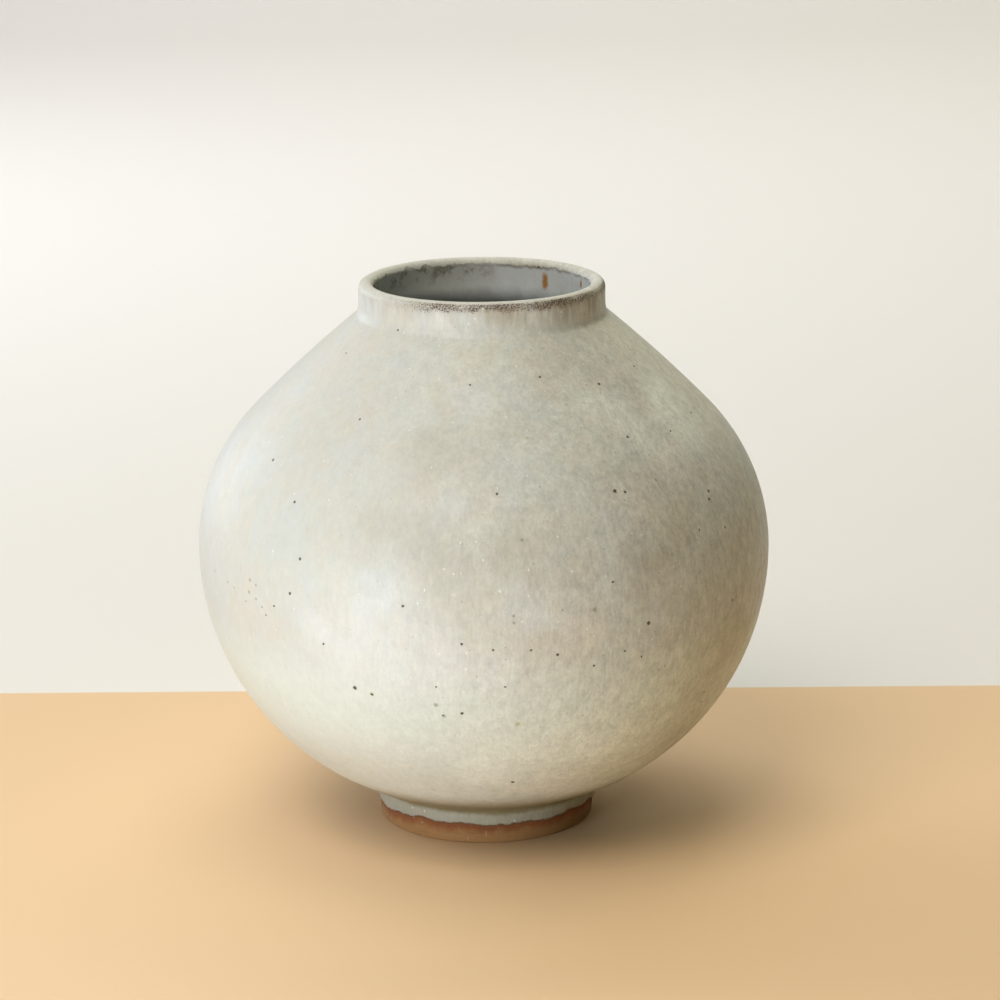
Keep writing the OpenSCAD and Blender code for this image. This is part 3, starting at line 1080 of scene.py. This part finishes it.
def toasted_clay():
    """The bare clay of the foot."""
    finish, tree, shader = new_finish("toasted_clay")
    place = object_place(tree)
    clouds = noise(tree, place, 140, 4, 0.65)
    grit = noise(tree, place, 1600, 3, 0.7)
    lines = noise(tree, object_place(tree, (1, 1, 9)), 110, 3, 0.65)
    under = add(tree, "Attribute", attribute_name="under_line").outputs["Fac"]
    uneven = calc(tree, "ADD", under, swing(tree, clouds, 4 * mm))
    colour = blend(tree, fade(tree, uneven, 0.8 * mm, 4.2 * mm), red_clay, tan_clay)
    colour = blend(tree, fade(tree, under, 0.1 * mm, 0.9 * mm, 0.8, 0.0), colour, line_brown)
    colour = blend(tree, fade(tree, grit, 0.58, 0.75, 0.0, 0.5), colour, pale_grit)
    colour = blend(tree, fade(tree, lines, 0.55, 0.75, 0.0, 0.45), colour, turning_brown)
    ragged = wobbled(tree, place, 900, 0.7 * mm)
    colour = with_streaks(tree, ragged, colour, crack_places, 0.6, crack_tan)
    surface(tree, shader, colour, clay_roughness, calc(tree, "ADD", grit, lines), 0.12 * mm)
    return finish


def plain_clay(name, pale, dark, roughness):
    """Fired clay with grit, for the pieces under the glaze."""
    finish, tree, shader = new_finish(name)
    grit = noise(tree, object_place(tree), 900, 4, 0.65)
    colour = blend(tree, fade(tree, grit, 0.35, 0.7), dark, pale)
    surface(tree, shader, colour, roughness, grit, 0.1 * mm)
    return finish


dress(ring, toasted_clay())
body_clay = plain_clay("body_clay", (0.62, 0.50, 0.36), (0.50, 0.38, 0.26), 0.85)
joint_slip = plain_clay("joint_slip", (0.58, 0.47, 0.35), (0.50, 0.39, 0.28), 0.8)
hidden_pieces = {"lower_bowl": body_clay, "upper_bowl": body_clay, "neck_collar": body_clay,
                 "foot_slip": joint_slip, "waist_slip": joint_slip, "neck_slip": joint_slip}
for node, finish in hidden_pieces.items():
    dress(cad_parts[node], finish)
print(len(hidden_pieces), "pieces under the glaze are plain clay and slip")

# %% [markdown]
# ## Floor, backdrop and light
# The jar stands on a plain floor that sweeps up into a backdrop: one sheet with two colours.
# The light is soft daylight: a window on the left, a little behind the jar, a higher one at the
# front left, and less from above and from behind on the right. A small panel just outside the
# view, low at the front left, gives the lower flank its bluish sheen, and a very faint one
# lights the lower front. The backdrop has a light of its own, and its reflection draws a pale
# rim round the jar.

# %% Build the sweep
floor_size = 7.0
sweep_start = 2.2
sweep_r = 0.5
sweep_steps = 16
backdrop_rise = 1.6
bpy.ops.object.select_all(action="DESELECT")
bpy.ops.mesh.primitive_plane_add(size=floor_size, location=(0, sweep_start - floor_size / 2, 0))
floor = bpy.context.object
floor.name = floor.data.name = "floor_sweep"
bpy.ops.object.transform_apply(location=True, rotation=False, scale=False)
edit_edges(floor, lambda place: place.y > sweep_start - 0.001 * mm)
bpy.ops.mesh.spin(steps=sweep_steps, angle=math.radians(-90),
                  center=(0, sweep_start, sweep_r), axis=(1, 0, 0))
bpy.ops.mesh.extrude_region_move(TRANSFORM_OT_translate={"value": (0, 0, backdrop_rise)})
bpy.ops.object.mode_set(mode="OBJECT")
bpy.ops.object.shade_smooth()
floor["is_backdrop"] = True
print("The sweep rises to", round(max(v.co.z for v in floor.data.vertices), 2), "m")

# %% Paint the sweep
warm_edge_y = 0.134
warm_floor = (0.85, 0.61, 0.365)
pale_backdrop = (0.86, 0.85, 0.82)
paper_roughness = 0.7
sweep_finish, sweep_tree, sweep_shader = new_finish("studio_paper")
sweep_y = split(sweep_tree, object_place(sweep_tree))["Y"]
behind = fade(sweep_tree, sweep_y, warm_edge_y - mm, warm_edge_y + mm)
sweep_colour = blend(sweep_tree, behind, warm_floor, pale_backdrop)
plug(sweep_tree, sweep_shader, {"Base Color": sweep_colour, "Roughness": paper_roughness})
dress(floor, sweep_finish)
print(f"The warm floor ends {warm_edge_y:.3f} m behind the jar's axis")

# %% Light the jar
def soft_light(name, place, aim, size, depth, strength):
    """A rectangular light with a strength in watts for red, green and blue."""
    bpy.ops.object.light_add(type="AREA", location=place)
    light = bpy.context.object
    light.name = light.data.name = name
    light.rotation_euler = (Vector(place) - Vector(aim)).to_track_quat("Z", "Y").to_euler()
    light.data.shape = "RECTANGLE"
    light.data.size = size
    light.data.size_y = depth
    light.data.energy = max(strength)
    light.data.color = [part / max(strength) for part in strength]
    light.visible_camera = False
    print(f"{name}: {max(strength)} W")


middle = (0, 0, 0.1)
room_glow = (0.02, 0.03, 0.02, 1)
soft_light("left_window", (-1.349, 1.132, 0.494), middle, 1.0, 1.0, (8.1, 9.0, 9.9))
soft_light("front_window", (-0.579, -1.002, 1.499), middle, 1.0, 1.0, (16.7, 15.0, 13.3))
soft_light("right_wall", (1.32, 2.28, 1.45), middle, 1.6, 1.6, (8.6, 8.4, 4.4))
soft_light("ceiling", (0, 0, 1.9), middle, 1.0, 1.0, (7.5, 7.3, 5.9))
soft_light("low_panel", (-0.32, -0.42, 0.02), (0, 0, 0.12), 0.26, 0.2, (1.8, 2.1, 2.45))
soft_light("low_reflector", (0.08, -0.49, 0.03), (0, 0, 0.1), 0.3, 0.2, (0.13, 0.14, 0.11))
soft_light("backdrop_wash", (-0.5, 1.2, 1.9), (-0.5, 2.3, 0.1), 2.4, 1.0, (29.4, 28.2, 29.8))
world = bpy.data.worlds.new("room")
world.use_nodes = True
world.node_tree.nodes["Background"].inputs["Color"].default_value = room_glow
world.node_tree.nodes["Background"].inputs["Strength"].default_value = 1.0
bpy.context.scene.world = world
bpy.context.scene.view_settings.view_transform = "Standard"
bpy.context.scene.view_settings.look = "None"

# %% [markdown]
# ## Sizes of the boxes
# The new pieces have to stay inside the box of the solids, so the sizes of both boxes are
# printed.

# %% Print the sizes
visual_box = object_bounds()
sizes = {"cad": [list(corner) for corner in cad_box],
         "visual": [list(corner) for corner in visual_box]}
for name, (low, high) in sizes.items():
    print(name, [round((b - a) / mm, 2) for a, b in zip(low, high)])
